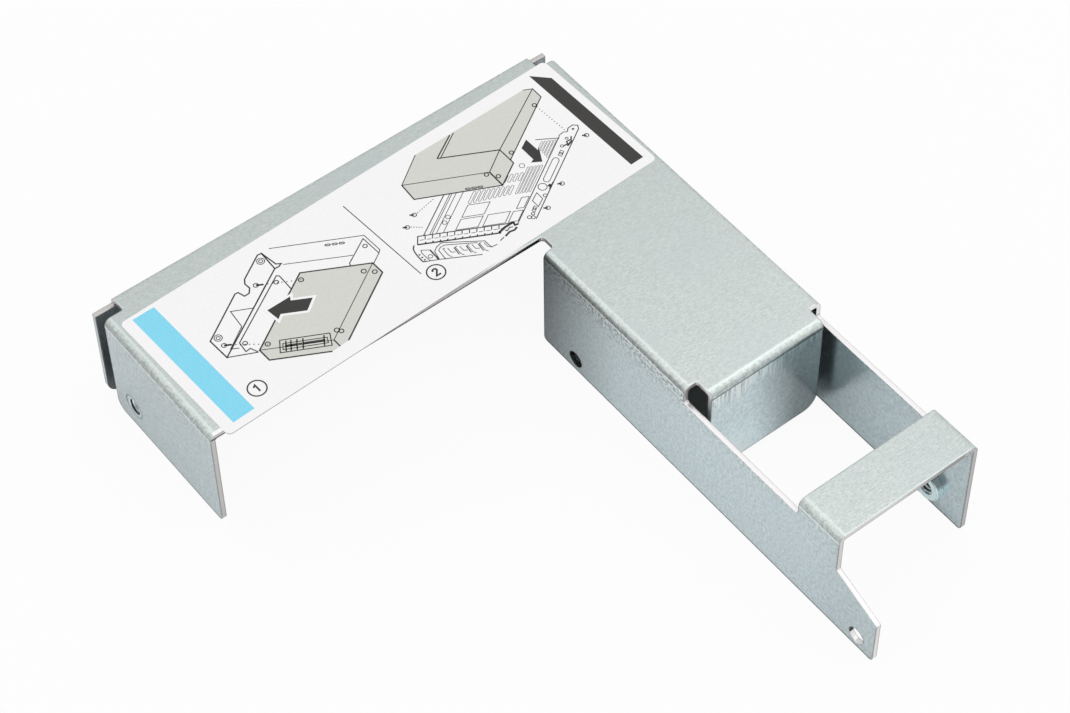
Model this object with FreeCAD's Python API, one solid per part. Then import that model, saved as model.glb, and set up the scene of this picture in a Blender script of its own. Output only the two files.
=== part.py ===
import FreeCAD, Part

import math
import os

from FreeCAD import Vector

# Drive bay adapter bracket: a folded sheet that carries a 2.5-inch drive in a 3.5-inch bay.
# Millimetres. +X runs along the front bar to the side arm, +Y points to the back flange, +Z is up.
# The origin is the middle of the outline on the plane that the flanges stand on.

# Folded sheet
sheet = 1.0
bend_inside = 0.5
bay_width = 101.6
height = 24.4
side_arm_width = 31.5

# Screw places, from the hole patterns of the two drive sizes
bay_hole_spacing = 101.6
drive_hole_spacing = 76.6
drive_hole_offset = 14.5
bay_hole_from_back = 10.1
bay_hole_height = 5.6
drive_hole_height = 2.9
drive_hole_diameter = 3.5

# Sheet left around the outermost holes
strap_beyond_hole = 8.2
tail_beyond_hole = 4.35
nook_before_hole = 9.3

# Slits and reliefs that let the flanges fold
nook_slit = 3.2
nook_slit_reach = 2.4
nook_slit_round = 0.8
corner_relief_width = 4.1
corner_relief_depth = 4.1
corner_relief_past_bend = 0.45
block_relief_width = 2.9
block_relief_length = 4.0
relief_round = 0.4

# Side arm: front flange, window, strap and tail
window_length = 26.0
strap_width = 10.35
window_dip = 4.0
window_round = 0.7
block_foot_gap = 1.0
tail_shoulder_depth = 9.0
tail_tip_depth = 13.8

# Corners of the flanges
back_corner_round = 2.8
end_corner_round = 2.1
block_corner_round = 3.0
small_corner_round = 0.9

# Round notch in the outer flange, for a screwdriver
driver_notch_radius = 8.0
driver_notch_centre_height = 2.5
driver_notch_mouth_round = 2.0

# Clinch nuts
nut_head_radius = 3.2
nut_head_height = 1.53
nut_head_chamfer = 0.25
nut_shank_radius = 2.36
nut_shank_setback = 0.03
nut_seat_clearance = 0.03
nut_thread_minor_radius = 1.38
nut_thread_chamfer = 0.3

# Label
label_thickness = 0.15
label_end_margin = 1.72
label_side_margin = 2.15
label_shift_side = 0.26
label_shift_front = 2.5
label_turn = 1.8
label_round = 1.3

# Derived places, measured from the back face or from the left end
bend_outside = bend_inside + sheet
bay_rear_hole = bay_hole_from_back + bay_hole_spacing
drive_rear_hole = bay_rear_hole + drive_hole_offset
drive_front_hole = drive_rear_hole - drive_hole_spacing
overall_length = drive_rear_hole + tail_beyond_hole
nook_start = drive_front_hole - nook_before_hole
arm_depth = nook_start - nook_slit
strap_front = bay_rear_hole + strap_beyond_hole
strap_back = strap_front - strap_width
block_front = strap_back - window_length
relief_start = block_front - block_relief_length
nook_wall = bay_width - side_arm_width
block_left = nook_wall + block_relief_width
block_right = bay_width - block_relief_width
block_depth = height - block_foot_gap
bay_hole_depth = height - bay_hole_height
drive_hole_depth = height - drive_hole_height
left = -bay_width / 2
right = bay_width / 2
back = overall_length / 2

TOUCHING = 1e-6
UP = Vector(0, 0, 1)


def rounded_face(corners, place):
    """A flat face. Each corner is (a, b, radius), and place(a, b) is its point in space."""
    points = [place(a, b) for a, b, _ in corners]
    count = len(points)
    trims = []
    for i, (_, _, radius) in enumerate(corners):
        back_way = (points[i - 1] - points[i]).normalize()
        on_way = (points[(i + 1) % count] - points[i]).normalize()
        trims.append(radius / math.tan(back_way.getAngle(on_way) / 2) if radius else 0.0)
    for i in range(count):
        room = (points[(i + 1) % count] - points[i]).Length
        wanted = trims[i] + trims[(i + 1) % count]
        if wanted > room:
            trims[i] *= room / wanted
            trims[(i + 1) % count] *= room / wanted
    edges = []
    pens = []
    for i, point in enumerate(points):
        back_way = (points[i - 1] - point).normalize()
        on_way = (points[(i + 1) % count] - point).normalize()
        begin = point + back_way * trims[i]
        end = point + on_way * trims[i]
        pens.append((begin, end))
        if trims[i] > TOUCHING:
            half = back_way.getAngle(on_way) / 2
            radius = trims[i] * math.tan(half)
            inward = (back_way + on_way).normalize()
            middle = point + inward * (radius / math.sin(half) - radius)
            edges.append(Part.Arc(begin, middle, end).toShape())
    for i in range(count):
        start = pens[i][1]
        stop = pens[(i + 1) % count][0]
        if (stop - start).Length > TOUCHING:
            edges.append(Part.LineSegment(start, stop).toShape())
    return Part.Face(Part.Wire(Part.__sortEdges__(edges)))


class Fold:
    """A bend line on the top plate: where it starts, which way it runs and which way it faces."""

    def __init__(self, corner, run, out):
        self.corner = corner
        self.run = run
        self.out = out

    def point(self, distance, inset, depth):
        return self.corner + self.run * distance - self.out * inset - UP * depth

    def bend(self, start, end):
        """The quarter round that joins the plate to a flange, from start to end along the line."""
        def section(radius, turn):
            reach = radius * math.cos(math.radians(turn))
            rise = radius * math.sin(math.radians(turn))
            return self.point(start, bend_outside - reach, bend_outside - rise)

        outer = Part.Arc(section(bend_outside, 0), section(bend_outside, 45), section(bend_outside, 90))
        inner = Part.Arc(section(bend_inside, 0), section(bend_inside, 45), section(bend_inside, 90))
        foot = Part.LineSegment(section(bend_inside, 0), section(bend_outside, 0))
        top = Part.LineSegment(section(bend_inside, 90), section(bend_outside, 90))
        edges = [curve.toShape() for curve in (outer, top, inner, foot)]
        face = Part.Face(Part.Wire(Part.__sortEdges__(edges)))
        return face.extrude(self.run * (end - start))

    def flange(self, corners):
        """The flat of a flange. Each corner is (distance along the line, depth, radius)."""
        face = rounded_face(corners, lambda distance, depth: self.point(distance, 0, depth))
        return face.extrude(self.out * -sheet)

    def hole(self, distance, depth, radius):
        """A round tool that passes through the flange."""
        start = self.point(distance, -sheet, depth)
        return Part.makeCylinder(radius, 3 * sheet, start, self.out * -1)


end_fold = Fold(Vector(left, back, height), Vector(0, -1, 0), Vector(-1, 0, 0))
nook_fold = Fold(Vector(left + nook_wall, back, height), Vector(0, -1, 0), Vector(-1, 0, 0))
outer_fold = Fold(Vector(right, back, height), Vector(0, -1, 0), Vector(1, 0, 0))
back_fold = Fold(Vector(left, back, height), Vector(1, 0, 0), Vector(0, 1, 0))
block_fold = Fold(Vector(left, back - block_front, height), Vector(1, 0, 0), Vector(0, -1, 0))


def top_point(across, forward):
    """A point of the plate's underside, from the left end and the back face."""
    return Vector(left + across, back - forward, height - sheet)


def top_plate():
    slit_end = nook_wall + nook_slit_reach
    corners = [
        (corner_relief_width, bend_outside, 0),
        (corner_relief_width, corner_relief_depth, relief_round),
        (bend_outside, corner_relief_depth, 0),
        (bend_outside, arm_depth, 0),
        (slit_end, arm_depth, nook_slit_round),
        (slit_end, nook_start, nook_slit_round),
        (nook_wall + bend_outside, nook_start, 0),
        (nook_wall + bend_outside, relief_start, 0),
        (block_left, relief_start, relief_round),
        (block_left, block_front - bend_outside, 0),
        (block_right, block_front - bend_outside, 0),
        (block_right, relief_start, relief_round),
        (bay_width - bend_outside, relief_start, 0),
        (bay_width - bend_outside, corner_relief_depth, 0),
        (bay_width - corner_relief_width, corner_relief_depth, relief_round),
        (bay_width - corner_relief_width, bend_outside, 0),
    ]
    return rounded_face(corners, top_point).extrude(UP * sheet)


def strap_plate():
    corners = [
        (nook_wall + bend_outside, strap_back, 0),
        (nook_wall + bend_outside, strap_front, 0),
        (bay_width - bend_outside, strap_front, 0),
        (bay_width - bend_outside, strap_back, 0),
    ]
    return rounded_face(corners, top_point).extrude(UP * sheet)


def wall_top():
    """The upper edge that both walls of the side arm share, dipped along the window."""
    return [
        (relief_start, bend_outside, 0),
        (relief_start, window_dip, window_round),
        (strap_back, window_dip, window_round),
        (strap_back, bend_outside, 0),
        (strap_front, bend_outside, 0),
    ]


def end_flange():
    return end_fold.flange([
        (corner_relief_depth, bend_outside, 0),
        (arm_depth, bend_outside, 0),
        (arm_depth, height, small_corner_round),
        (corner_relief_depth, height, end_corner_round),
    ])


def back_flange():
    free_top = bend_outside + corner_relief_past_bend
    return back_fold.flange([
        (0, free_top, 0),
        (corner_relief_width, free_top, 0),
        (corner_relief_width, bend_outside, 0),
        (bay_width - corner_relief_width, bend_outside, 0),
        (bay_width - corner_relief_width, free_top, 0),
        (bay_width, free_top, 0),
        (bay_width, height, back_corner_round),
        (0, height, back_corner_round),
    ])


def block_flange():
    return block_fold.flange([
        (block_left, bend_outside, 0),
        (block_right, bend_outside, 0),
        (block_right, block_depth, block_corner_round),
        (block_left, block_depth, block_corner_round),
    ])


def nook_flange():
    return nook_fold.flange([
        (nook_start, bend_outside, 0),
        *wall_top(),
        (strap_front, tail_shoulder_depth, 0),
        (overall_length, tail_tip_depth, relief_round),
        (overall_length, height, small_corner_round),
        (nook_start, height, small_corner_round),
    ])


def outer_flange():
    notch_top = height - driver_notch_centre_height - driver_notch_radius
    notch_front = drive_front_hole + driver_notch_radius
    notch_back = drive_front_hole - driver_notch_radius
    return outer_fold.flange([
        (corner_relief_depth, bend_outside, 0),
        *wall_top(),
        (strap_front, height, small_corner_round),
        (notch_front, height, driver_notch_mouth_round),
        (notch_front, notch_top, driver_notch_radius),
        (notch_back, notch_top, driver_notch_radius),
        (notch_back, height, driver_notch_mouth_round),
        (corner_relief_depth, height, end_corner_round),
    ])


def nut_seats():
    """Where the three clinch nuts sit: node name, fold, distance from the back face."""
    return [
        ("nut_end", end_fold, bay_hole_from_back),
        ("nut_outer_front", outer_fold, bay_hole_from_back),
        ("nut_outer_rear", outer_fold, bay_rear_hole),
    ]


def bracket():
    pieces = [
        strap_plate(),
        end_fold.bend(corner_relief_depth, arm_depth),
        back_fold.bend(corner_relief_width, bay_width - corner_relief_width),
        block_fold.bend(block_left, block_right),
        nook_fold.bend(nook_start, relief_start),
        nook_fold.bend(strap_back, strap_front),
        outer_fold.bend(corner_relief_depth, relief_start),
        outer_fold.bend(strap_back, strap_front),
        end_flange(),
        back_flange(),
        block_flange(),
        nook_flange(),
        outer_flange(),
    ]
    folded = top_plate().fuse(pieces).removeSplitter()
    seat_radius = nut_shank_radius + nut_seat_clearance
    holes = [fold.hole(distance, bay_hole_depth, seat_radius) for _, fold, distance in nut_seats()]
    for distance in (drive_front_hole, drive_rear_hole):
        holes.append(nook_fold.hole(distance, drive_hole_depth, drive_hole_diameter / 2))
    return folded.cut(holes).removeSplitter()


def clinch_nut(fold, distance):
    """A turned nut: the shank fills the sheet from inside and the head rests on the sheet's inner face."""
    top = sheet + nut_head_height
    bore = nut_thread_minor_radius
    profile = [
        (bore + nut_thread_chamfer, nut_shank_setback),
        (nut_shank_radius, nut_shank_setback),
        (nut_shank_radius, sheet),
        (nut_head_radius, sheet),
        (nut_head_radius, top - nut_head_chamfer),
        (nut_head_radius - nut_head_chamfer, top),
        (bore + nut_thread_chamfer, top),
        (bore, top - nut_thread_chamfer),
        (bore, nut_shank_setback + nut_thread_chamfer),
    ]
    points = [fold.point(distance + radius, inset, bay_hole_depth) for radius, inset in profile]
    face = Part.Face(Part.makePolygon(points + points[:1]))
    return face.revolve(fold.point(distance, 0, bay_hole_depth), fold.out, 360)


def label():
    length = bay_width - 2 * label_end_margin
    width = arm_depth - 2 * label_side_margin
    corners = [
        (-length / 2, -width / 2, label_round),
        (length / 2, -width / 2, label_round),
        (length / 2, width / 2, label_round),
        (-length / 2, width / 2, label_round),
    ]
    face = rounded_face(corners, lambda along, across: Vector(along, across, 0))
    body = face.extrude(UP * label_thickness)
    body.rotate(Vector(0, 0, 0), UP, label_turn)
    middle_x = left + bay_width / 2 + label_shift_side
    middle_y = back - arm_depth / 2 - label_shift_front
    body.translate(Vector(middle_x, middle_y, height))
    return body


os.makedirs("parts", exist_ok=True)
nodes = {"bracket": bracket(), "label": label()}
for name, fold, distance in nut_seats():
    nodes[name] = clinch_nut(fold, distance)
for name, shape in nodes.items():
    solid = shape.Solids[0]
    solid.exportStep(os.path.join("parts", name + ".step"))
    box = solid.BoundBox
    print(name, len(shape.Solids), "solid", solid.isValid(), round(solid.Volume, 1), "mm3",
          round(box.XMin, 2), round(box.XMax, 2), round(box.YMin, 2), round(box.YMax, 2),
          round(box.ZMin, 2), round(box.ZMax, 2))
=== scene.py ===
import math

import bmesh
import bpy
from mathutils import Matrix, Vector

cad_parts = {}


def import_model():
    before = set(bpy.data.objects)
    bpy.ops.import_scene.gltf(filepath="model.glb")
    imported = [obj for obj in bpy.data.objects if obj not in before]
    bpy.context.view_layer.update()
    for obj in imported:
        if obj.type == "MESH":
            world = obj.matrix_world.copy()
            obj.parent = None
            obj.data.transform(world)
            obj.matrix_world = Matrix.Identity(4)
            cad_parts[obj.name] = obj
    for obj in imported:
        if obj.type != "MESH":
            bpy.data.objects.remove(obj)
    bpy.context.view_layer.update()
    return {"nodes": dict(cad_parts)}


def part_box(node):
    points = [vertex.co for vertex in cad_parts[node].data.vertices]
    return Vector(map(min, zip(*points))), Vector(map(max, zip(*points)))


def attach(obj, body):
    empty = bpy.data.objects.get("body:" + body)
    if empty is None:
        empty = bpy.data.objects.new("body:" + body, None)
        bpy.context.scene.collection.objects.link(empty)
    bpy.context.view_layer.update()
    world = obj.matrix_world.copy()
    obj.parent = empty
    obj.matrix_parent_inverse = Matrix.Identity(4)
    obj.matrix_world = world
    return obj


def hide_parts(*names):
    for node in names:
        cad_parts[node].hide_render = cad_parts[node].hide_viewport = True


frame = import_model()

MM = 0.001

# Camera that sees the object as the photograph does
CAMERA_PLACE = Vector((-199.41, -256.48, 449.89)) * MM
CAMERA_AIM = Vector((3.64, 7.50, 24.4)) * MM
CAMERA_ROLL = math.radians(-0.832)
CAMERA_LENS = 104.34

# Sheet, as in the part
SHEET = 1.0 * MM
BEND_OUTSIDE = 1.5 * MM
BLOCK_FACE = -18.275 * MM
NOOK_FACE = 19.3 * MM
BAR_FRONT = 28.175 * MM
NOOK_HOLE = Vector((15.675, 2.9)) * MM
NOOK_HOLE_RADIUS = 1.75 * MM
DRIVE_HOLE_SPACING = 76.6
TAIL_HOLE = NOOK_HOLE - Vector((DRIVE_HOLE_SPACING, 0.0)) * MM

# Plating, and how its tone changes along Y: duller to the back, and again on the strap
ZINC_DARK = (0.545, 0.605, 0.585)
ZINC_MIDDLE = (0.655, 0.715, 0.695)
ZINC_PALE = (0.765, 0.825, 0.805)
ZINC_CLOUD = (0.63, 0.70, 0.70)
FLANGE_TINT = (0.945, 0.995, 1.05)
GRAIN_TURN = 32
ARM_PALE = -18 * MM
BACK_DULL = 62 * MM
STRAP_DULL = -48 * MM
STRAP_CLEAR = -20 * MM

# Wear of the folds: flecks as deep as this below a bend, a thin line at its foot, strokes on the block flange
WORN = (0.24, 0.26, 0.25)
RUBBED = (0.92, 0.94, 0.92)
WORN_DEPTH = 5.5 * MM
NOOK_WEAR_START = -44 * MM
NOOK_WEAR_FULL = -36 * MM
BEND_TINT = (0.93, 0.93, 0.915)
FOLD_LINE_PALE = (0.95, 0.97, 0.96)
FOLD_LINE_DARK = (0.07, 0.08, 0.08)
FOLD_LINE_HALF = 0.22 * MM
FOLD_LINE_CORE = 0.08 * MM
STROKE_DARK = (0.36, 0.41, 0.43)
STROKE_PALE = (0.80, 0.93, 0.94)
STROKES_TOP = 0.2 * MM
STROKES_FOOT = 4.6 * MM

# Cut edges: bare metal with a painted shade outline, and the bar's front edge, with a painted highlight on top and
# painted shadow low down near the nook
CUT_BRIGHT = (0.98, 0.955, 0.96)
CUT_DULL = (0.52, 0.50, 0.485)
# Painted shade along lower edges and at the flanges' feet
OUTLINE_SHADE = (0.09, 0.085, 0.09)
OUTLINE_WIDTH = 0.5 * MM
# Painted highlight on the bar's top by its front edge, and painted shadow low on its front face
BAR_HIGHLIGHT = (0.98, 0.97, 0.975)
BAR_SHADOW = (0.03, 0.027, 0.027)
BAR_SHADOW_START = 11 * MM
BAR_SHADOW_FULL = 18 * MM
BAR_SHADOW_LEAST = 0.30 * MM
BAR_SHADOW_MOST = 0.80 * MM

# Painted shade in the screw holes, and the grooves round the nuts
HOLE_SHADE = (0.05, 0.055, 0.055)
TAIL_HOLE_LIT = 1.1 * MM
GROOVE = (0.18, 0.20, 0.20)
GROOVE_RADIUS = 2.55 * MM
GROOVE_HALF = 0.22 * MM
GROOVE_CORE = 0.10 * MM

# Floor under the side arm, painted darker as shade
ARM_SHADE_MIDDLE = Vector((35.5, 4.5)) * MM
ARM_SHADE_HALF = Vector((15.3, 18.5)) * MM

# Clinch nuts: outline as in the part, thread finer than the part holds
NUT_BLUE = (0.70, 0.89, 0.94)
NUT_PALE = (0.88, 1.0, 1.0)
# Painted shade and painted highlight of the nuts
NUT_SHADE = (0.03, 0.04, 0.045)
NUT_CREST_HIGHLIGHT = (1.0, 1.0, 1.0)
NUT_HEAD_RADIUS = 3.2 * MM
NUT_HEAD_CHAMFER = 0.25 * MM
NUT_SHANK_RADIUS = 2.36 * MM
NUT_BORE = 1.38 * MM
NUT_MOUTH = 0.3 * MM
THREAD_PITCH = 0.794 * MM
THREAD_DEPTH = 0.36 * MM
THREAD_FLANK = 2.6
THREAD_FLAT = 0.15
THREAD_STEPS = 48
THREAD_RUN_OUT = 3
NUT_SIDES = 72
NUTS = {"nut_end": -1, "nut_outer_front": 1, "nut_outer_rear": 1}

# Label: turned a little on the plate, with films of ink on the paper
PAPER_DARK = (0.905, 0.893, 0.902)
PAPER_PALE = (0.938, 0.926, 0.935)
# Painted shade along the label's front edge
PAPER_EDGE_SHADE = (0.17, 0.13, 0.12)
LABEL_TURN = math.radians(1.8)
LABEL_ROUND = 1.3
PRINT_SHIFT = Vector((0.04, 0.15))
PRESS = 1.3
INK = 0.007 * MM
INK_LAYERS = 5
RING_SIDES = 24
DOT = 0.13

low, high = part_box("bracket")
label_low, label_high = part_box("label")


class Tree:
    """A material's nodes, with short calls to add and join them."""

    def __init__(self, name):
        self.material = bpy.data.materials.new(name)
        self.material.use_nodes = True
        self.nodes = self.material.node_tree.nodes
        self.links = self.material.node_tree.links
        self.shader = self.nodes["Principled BSDF"]

    def add(self, kind, **settings):
        node = self.nodes.new(kind)
        for key, value in settings.items():
            setattr(node, key, value)
        return node

    def join(self, source, target):
        self.links.new(source, target)

    def shade(self, name, source):
        """Gives the shader one of its values from a node's output."""
        self.join(source, self.shader.inputs[name])

    def feed(self, node, name, value):
        """Sets an input from a number, a colour or another node's output."""
        if isinstance(value, bpy.types.NodeSocket):
            self.join(value, node.inputs[name])
        else:
            node.inputs[name].default_value = value

    def math(self, operation, a, b=0.0):
        node = self.add("ShaderNodeMath", operation=operation)
        self.feed(node, 0, a)
        self.feed(node, 1, b)
        return node.outputs[0]

    def chain(self, operation, values):
        result = values[0]
        for value in values[1:]:
            result = self.math(operation, result, value)
        return result

    def both(self, *factors):
        """Masks and factors, multiplied."""
        return self.chain("MULTIPLY", factors)

    def either(self, *masks):
        return self.chain("MAXIMUM", masks)

    def total(self, *values):
        return self.chain("ADD", values)

    def minus(self, a, b):
        return self.math("SUBTRACT", a, b)

    def size(self, value):
        return self.math("ABSOLUTE", value)

    def apart(self, a, b):
        return self.size(self.minus(a, b))

    def under(self, value, limit):
        """1 where the value is less than the limit, else 0."""
        return self.math("LESS_THAN", value, limit)

    def over(self, value, limit):
        """1 where the value is more than the limit, else 0."""
        return self.math("GREATER_THAN", value, limit)

    def reach(self, a, b):
        """How far a point is from the middle, from its offsets along two axes."""
        squares = [self.math("POWER", self.size(offset), 2.0) for offset in (a, b)]
        return self.math("SQRT", self.total(*squares))

    def span(self, value, start, stop, at_start=0.0, at_stop=1.0):
        """A value that goes evenly from at_start to at_stop between two limits and stays level past them."""
        node = self.add("ShaderNodeMapRange")
        self.join(value, node.inputs["Value"])
        ends = {"From Min": start, "From Max": stop, "To Min": at_start, "To Max": at_stop}
        for name, number in ends.items():
            node.inputs[name].default_value = number
        return node.outputs[0]

    def choose(self, mask, off, on):
        """A number for where the mask is 0 and one for where it is 1."""
        return self.span(mask, 0.0, 1.0, off, on)

    def parts(self, vector):
        """The X, Y and Z of a vector."""
        node = self.add("ShaderNodeSeparateXYZ")
        self.join(vector, node.inputs[0])
        return node.outputs

    def coordinates(self):
        return self.add("ShaderNodeTexCoord").outputs["Object"]

    def position(self):
        return self.parts(self.coordinates())

    def facing(self, kind="True Normal"):
        return self.parts(self.add("ShaderNodeNewGeometry").outputs[kind])

    def noise(self, scale, detail, roughness=0.55, turn=0):
        """Cloudy noise, with a scale in patterns per millimetre: one number, or one for each axis."""
        scales = scale if isinstance(scale, tuple) else (scale, scale, scale)
        mapping = self.add("ShaderNodeMapping")
        self.join(self.coordinates(), mapping.inputs["Vector"])
        mapping.inputs["Scale"].default_value = [s / MM for s in scales]
        mapping.inputs["Rotation"].default_value = (0, 0, math.radians(turn))
        node = self.add("ShaderNodeTexNoise")
        self.join(mapping.outputs[0], node.inputs["Vector"])
        node.inputs["Scale"].default_value = 1.0
        node.inputs["Detail"].default_value = detail
        node.inputs["Roughness"].default_value = roughness
        return node.outputs["Fac"]

    def layer(self, name):
        """A number that the mesh holds at its vertices."""
        return self.add("ShaderNodeAttribute", attribute_name=name).outputs["Fac"]

    def openness(self, distance, samples, only_local=False):
        """0 in a deep corner, 1 where nothing stands near the surface."""
        node = self.add("ShaderNodeAmbientOcclusion", samples=samples, only_local=only_local)
        node.inputs["Distance"].default_value = distance
        return node.outputs["AO"]

    def edge(self, radius):
        """A mask that is 1 at a sharp edge and 0 a radius away, and the normal with the edge rounded off."""
        rounded = self.add("ShaderNodeBevel", samples=6)
        rounded.inputs["Radius"].default_value = radius
        geometry = self.add("ShaderNodeNewGeometry")
        product = self.add("ShaderNodeVectorMath", operation="DOT_PRODUCT")
        self.join(rounded.outputs[0], product.inputs[0])
        self.join(geometry.outputs["Normal"], product.inputs[1])
        return self.span(product.outputs["Value"], 0.995, 0.86), rounded.outputs[0]

    def ramp(self, value, *stops):
        node = self.add("ShaderNodeValToRGB")
        self.join(value, node.inputs[0])
        elements = node.color_ramp.elements
        while len(elements) < len(stops):
            elements.new(0.5)
        for element, (position, colour) in zip(elements, stops):
            element.position = position
            element.color = (*colour, 1.0)
        return node.outputs[0]

    def mix(self, factor, a, b, blend="MIX"):
        """Colour a, turned into colour b by the factor."""
        node = self.add("ShaderNodeMix", data_type="RGBA", blend_type=blend)
        self.feed(node, 0, factor)
        self.feed(node, 6, a if isinstance(a, bpy.types.NodeSocket) else (*a, 1.0))
        self.feed(node, 7, b if isinstance(b, bpy.types.NodeSocket) else (*b, 1.0))
        return node.outputs[2]

    def tint(self, colour, by):
        return self.mix(1.0, colour, by, "MULTIPLY")

    def tone(self, colour, factor):
        """A colour, made darker or paler by a number."""
        grey = self.add("ShaderNodeCombineColor")
        for name in ("Red", "Green", "Blue"):
            self.join(factor, grey.inputs[name])
        return self.tint(colour, grey.outputs[0])

    def bump(self, height, strength, distance, normal=None):
        node = self.add("ShaderNodeBump")
        self.join(height, node.inputs["Height"])
        if normal:
            self.join(normal, node.inputs["Normal"])
        node.inputs["Strength"].default_value = strength
        node.inputs["Distance"].default_value = distance
        self.shade("Normal", node.outputs[0])


# Folded sheet

class SheetTree(Tree):
    """The sheet's material, with the place on the sheet, the way it faces and its flanges at hand."""

    def __init__(self, name):
        super().__init__(name)
        self.x, self.y, self.z = self.position()
        self.nx, self.ny, self.nz = self.facing()
        self.slope = self.size(self.nz)
        self.upright = self.span(self.slope, 0.5, 0.1)
        self.below_bend = self.minus(high.z - BEND_OUTSIDE, self.z)
        self.on_block = self.both(self.under(self.ny, -0.9), self.under(self.y, BLOCK_FACE + 0.1 * MM))
        by_nook = self.under(self.apart(self.x, NOOK_FACE + BEND_OUTSIDE / 2), BEND_OUTSIDE)
        self.on_nook = self.both(by_nook, self.span(self.y, NOOK_WEAR_START, NOOK_WEAR_FULL))


def plating(tree, mottle, blotch):
    """The zinc's colour: grains in soft clouds, and on the flanges bluer and more uneven."""
    grains = tree.ramp(mottle, (0.28, ZINC_DARK), (0.5, ZINC_MIDDLE), (0.72, ZINC_PALE))
    cloud = tree.noise(0.05, 2.0)
    colour = tree.mix(tree.span(cloud, 0.35, 0.65, 0.0, 0.5), grains, ZINC_CLOUD)
    colour = tree.tone(colour, tree.span(tree.y, ARM_PALE, BACK_DULL, 1.09, 0.92))
    colour = tree.tone(colour, tree.span(tree.y, STRAP_DULL, STRAP_CLEAR, 0.955, 1.0))
    uneven = tree.span(blotch, 0.3, 0.7, 0.72, 1.15)
    return tree.mix(tree.upright, colour, tree.tone(tree.tint(colour, FLANGE_TINT), uneven))


def worn_flecks(tree, colour):
    """Dark worn flecks and pale rubbed ones below the bends, most of them on the nook wall."""
    fleck = tree.noise(1.5, 2.0)
    patch = tree.noise(0.10, 1.0)
    near_bend = tree.both(
        tree.upright,
        tree.span(tree.below_bend, WORN_DEPTH, 0.0),
        tree.span(patch, 0.38, 0.58, 0.75, 1.0),
        tree.choose(tree.on_nook, 0.35, 1.0),
    )
    worn = tree.both(near_bend, tree.span(fleck, 0.50, 0.58, 0.0, 0.95))
    rubbed = tree.both(near_bend, tree.span(fleck, 0.46, 0.40, 0.0, 0.7))
    return tree.mix(rubbed, tree.mix(worn, colour, WORN), RUBBED)


def pitted_bends(tree, colour, bend, blotch):
    """The bends get painted shade in their lower half, most over the nook, and are pitted all over."""
    # Painted shade on the lower half of each bend
    lower = tree.both(tree.span(tree.slope, 0.04, 0.15), tree.span(tree.slope, 0.76, 0.55))
    darker = tree.both(lower, tree.choose(tree.on_nook, 0.08, 0.28))
    colour = tree.tone(colour, tree.minus(1.0, darker))
    pitted = tree.tone(colour, tree.span(blotch, 0.36, 0.64, 0.74, 1.14))
    return tree.mix(bend, colour, tree.tint(pitted, BEND_TINT))


def fold_line(tree, colour, speck):
    """A thin broken line where a bend meets its flange: dark on the flanges that face the front, else pale."""
    line = tree.span(tree.size(tree.below_bend), FOLD_LINE_HALF, FOLD_LINE_CORE)
    broken = tree.span(speck, 0.42, 0.55, 0.6, 1.0)
    shown = tree.both(line, tree.span(tree.slope, 0.4, 0.2), broken)
    front = tree.under(tree.ny, -0.7)
    return tree.mix(shown, colour, tree.mix(front, FOLD_LINE_PALE, FOLD_LINE_DARK))


def die_strokes(tree, colour):
    """Short strokes down the block flange, left by the folding die: pale ones and dark gaps between them."""
    strokes = tree.noise((2.3, 0.4, 0.12), 2.0)
    middle = (STROKES_TOP + STROKES_FOOT) / 2
    half = (STROKES_FOOT - STROKES_TOP) / 2
    shown = tree.both(tree.on_block, tree.under(tree.apart(tree.below_bend, middle), half))
    pale_limit = tree.span(tree.below_bend, STROKES_TOP, STROKES_FOOT, 0.40, 0.65)
    dark_limit = tree.span(tree.below_bend, STROKES_TOP, STROKES_FOOT, 0.50, 0.22)
    pale = tree.span(tree.minus(strokes, pale_limit), 0.0, 0.05)
    dark = tree.span(tree.minus(dark_limit, strokes), 0.0, 0.07)
    colour = tree.mix(tree.both(shown, dark, 0.6), colour, STROKE_DARK)
    return tree.mix(tree.both(shown, pale), colour, STROKE_PALE)


def cut_faces(tree):
    """1 on the sheared edges of the sheet, where the bare metal shows between its two zinc faces."""
    upright = tree.under(tree.slope, 0.04)

    def faces(normal, at, planes):
        """Upright faces square to an axis, but for those in the planes of the flanges."""
        off_planes = [tree.over(tree.apart(at, plane), 0.05 * MM) for plane in planes]
        return tree.both(upright, tree.over(tree.size(normal), 0.8), *off_planes)

    tops = tree.both(tree.over(tree.nz, 0.3), tree.under(tree.z, high.z - 1.7 * MM))
    fronts = faces(tree.ny, tree.y, (high.y, high.y - SHEET, BLOCK_FACE, BLOCK_FACE + SHEET))
    side_planes = (low.x, low.x + SHEET, NOOK_FACE, NOOK_FACE + SHEET, high.x - SHEET, high.x)
    return tree.either(tops, fronts, faces(tree.nx, tree.x, side_planes))


def cut_metal(tree):
    """The bare metal's colour: dull on the cut faces to the front, but for the outer flange's, and at the back."""
    front = tree.both(tree.under(tree.ny, -0.9), tree.under(tree.x, high.x - 3 * MM))
    back = tree.over(tree.y, high.y - 6 * MM)
    return tree.mix(tree.both(tree.either(front, back), 0.8), CUT_BRIGHT, CUT_DULL)


def painted_edge_shade(tree, cut, edge, rounded_normal):
    """Painted shade: 1 along sharp edges below the plate's top, and along the flanges' feet."""
    below_top = tree.span(tree.parts(rounded_normal)["Z"], 0.22, 0.05)
    along_edge = tree.both(edge, tree.choose(cut, 0.8, 0.6))
    painted_foot_shade = tree.span(tree.z, low.z + 0.42 * MM, low.z + 0.28 * MM, 0.0, 0.8)
    return tree.both(below_top, tree.either(along_edge, tree.both(tree.upright, painted_foot_shade)))


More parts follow.
